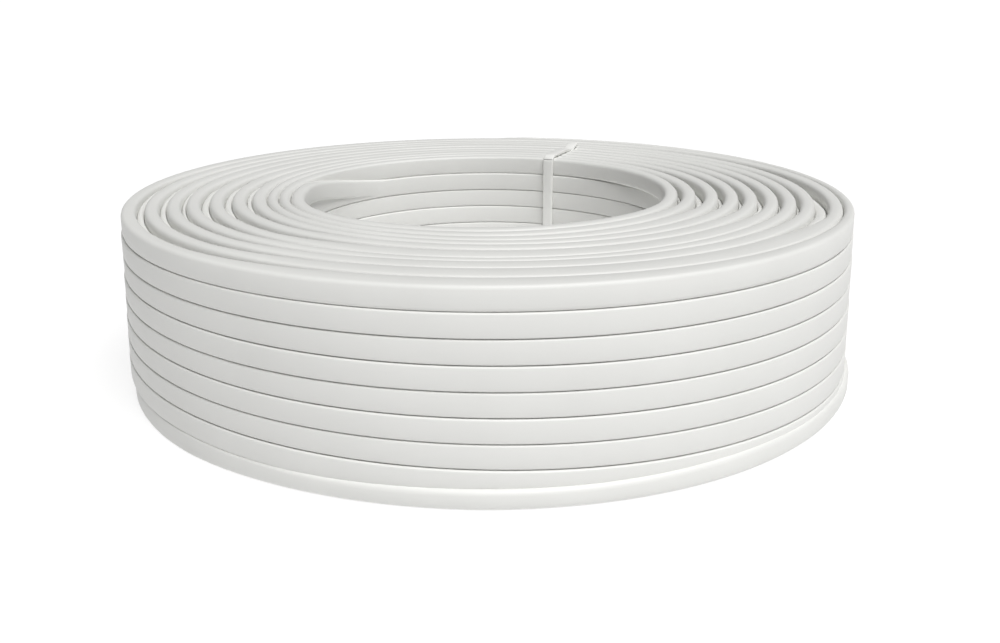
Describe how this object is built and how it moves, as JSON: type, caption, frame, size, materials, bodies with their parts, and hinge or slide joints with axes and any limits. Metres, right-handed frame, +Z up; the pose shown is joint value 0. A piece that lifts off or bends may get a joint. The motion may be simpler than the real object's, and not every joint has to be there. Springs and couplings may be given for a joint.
{
  "type": "flat power cable coil",
  "caption": "Free-standing coil of flat white PVC power cable, wound in upright rows round an open bore and tied once through it.",
  "frame": {"origin": "on the floor, under the middle of the coil's box", "axes": "+Z up along the coil's axis, +X to the right and -Y to the front, where the last turn leaves the wall"},
  "size_m": [0.364, 0.3674, 0.0913],
  "materials": {
    "pvc_sheath": "extruded soft PVC, satin white",
    "pvc_tie": "extruded PVC strip, satin white"
  },
  "bodies": {
    "root": {"cable_coil": "pvc_sheath", "tie_strip": "pvc_tie"}
  },
  "joints": []
}
